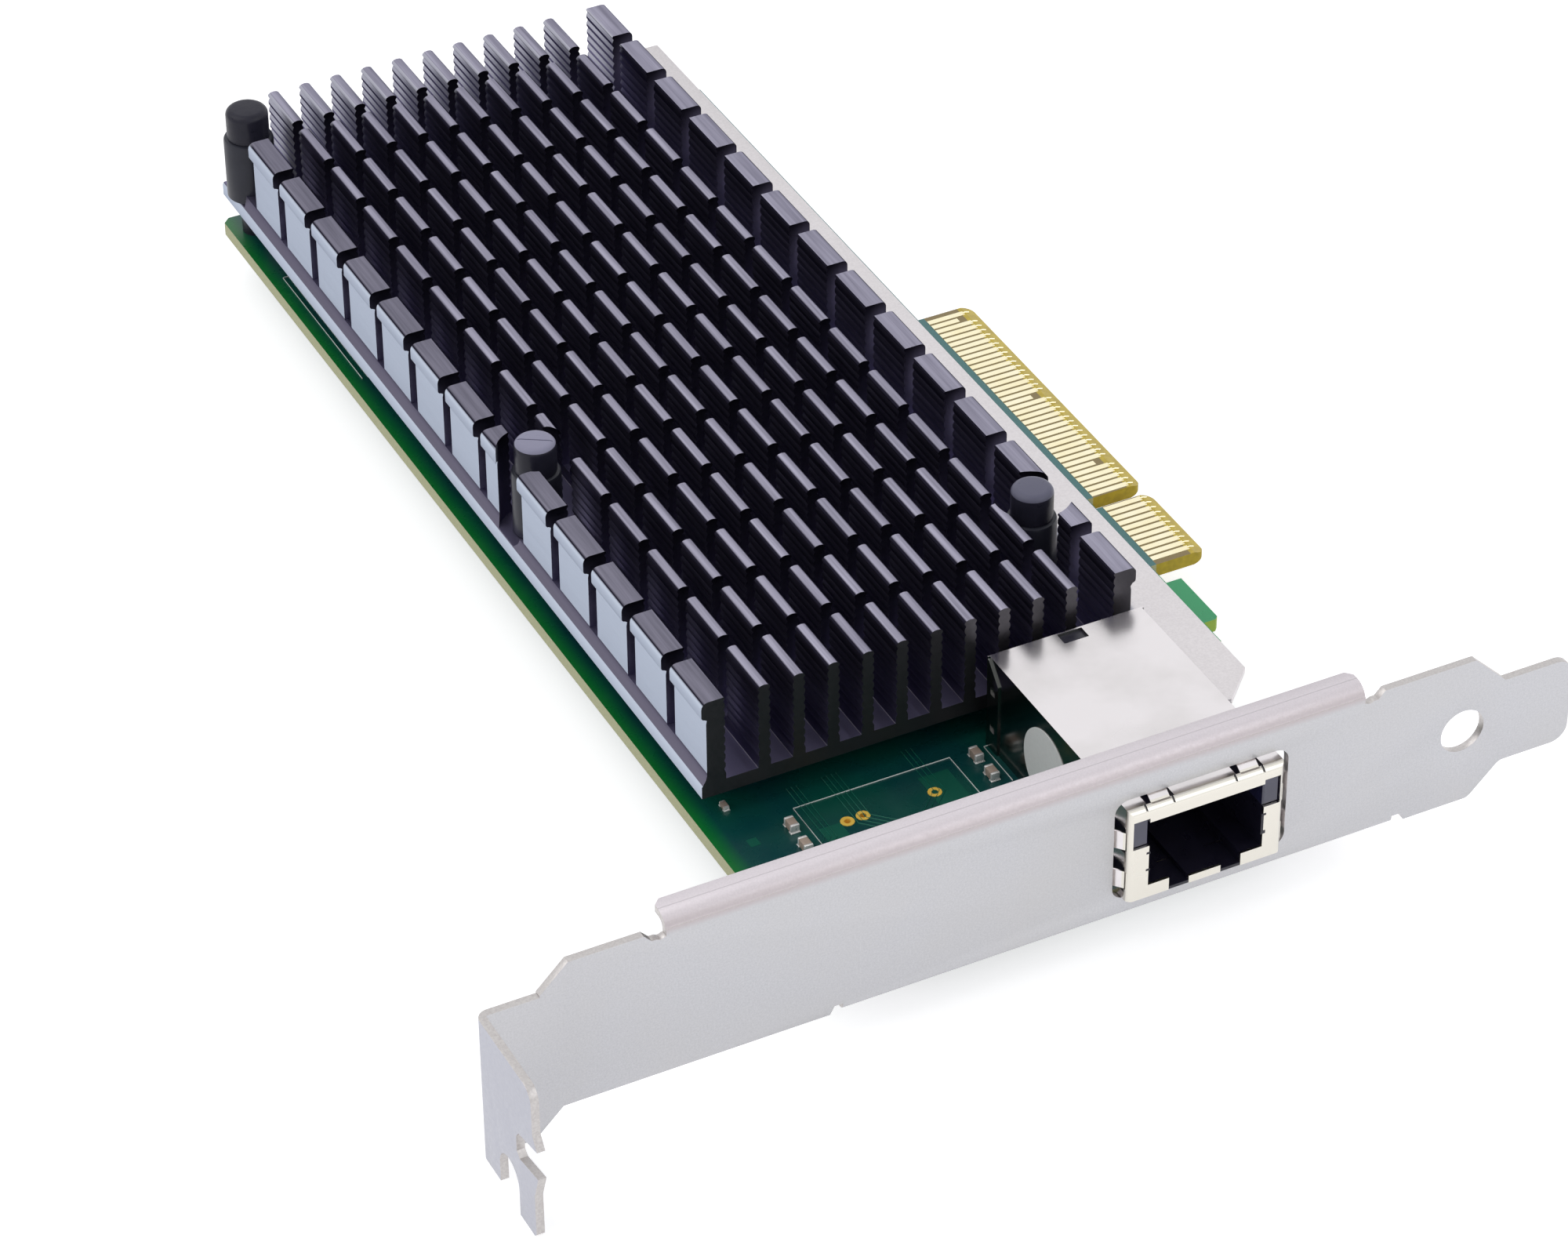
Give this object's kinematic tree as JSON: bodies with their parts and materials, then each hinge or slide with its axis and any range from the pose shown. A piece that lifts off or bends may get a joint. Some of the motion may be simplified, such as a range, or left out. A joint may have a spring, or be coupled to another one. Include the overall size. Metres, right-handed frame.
{
  "type": "network interface card",
  "caption": "Expansion card with a finned heatsink, a shielded network jack in a sheet-metal bracket, and a notched gold card edge.",
  "frame": {"origin": "on the bracket's outer face, level with the component side of the board, at the board's plain long edge", "axes": "+X across the board to its gold card edge, +Y from the bracket to the far end, +Z out of the component side"},
  "size_m": [0.12, 0.1657, 0.0225],
  "materials": {
    "board_laminate": "green solder mask with cream edges",
    "contact_gold": "gold plated",
    "heatsink_black": "black anodised, brushed tops",
    "pin_plastic": "moulded, fine grain",
    "sleeve_black": "smooth",
    "rail_metal": "fine brushed",
    "bracket_steel": "fine satin plating",
    "shield_metal": "tin plated",
    "housing_plastic": "moulded",
    "light_pipe": "smoked clear plastic",
    "sticker_paper": "plain paper",
    "package_laminate": "laminate",
    "lid_metal": "nickel plated",
    "pad_grey": "soft pad",
    "capacitor_ceramic": "ceramic with tinned ends",
    "screw_steel": "zinc plated",
    "pin_tin": "tinned"
  },
  "bodies": {
    "root": {"circuit_board": "board_laminate", "edge_contacts_upper": "contact_gold", "edge_contacts_lower": "contact_gold", "heatsink": "heatsink_black", "push_pin_far": "pin_plastic", "push_pin_middle": "pin_plastic", "push_pin_front": "pin_plastic", "pin_sleeve_far": "sleeve_black", "pin_sleeve_middle": "sleeve_black", "pin_sleeve_front": "sleeve_black", "controller_substrate": "package_laminate", "controller_lid": "lid_metal", "thermal_pad": "pad_grey", "edge_rail": "rail_metal", "jack_shell": "shield_metal", "jack_back_cover": "shield_metal", "jack_housing": "housing_plastic", "jack_contacts": "contact_gold", "jack_pins": "pin_tin", "light_pipe_left": "light_pipe", "light_pipe_right": "light_pipe", "jack_sticker": "sticker_paper", "bracket": "bracket_steel", "bracket_screw_left": "screw_steel", "bracket_screw_right": "screw_steel", "chip_capacitors": "capacitor_ceramic", "plated_holes": "contact_gold"}
  },
  "joints": []
}
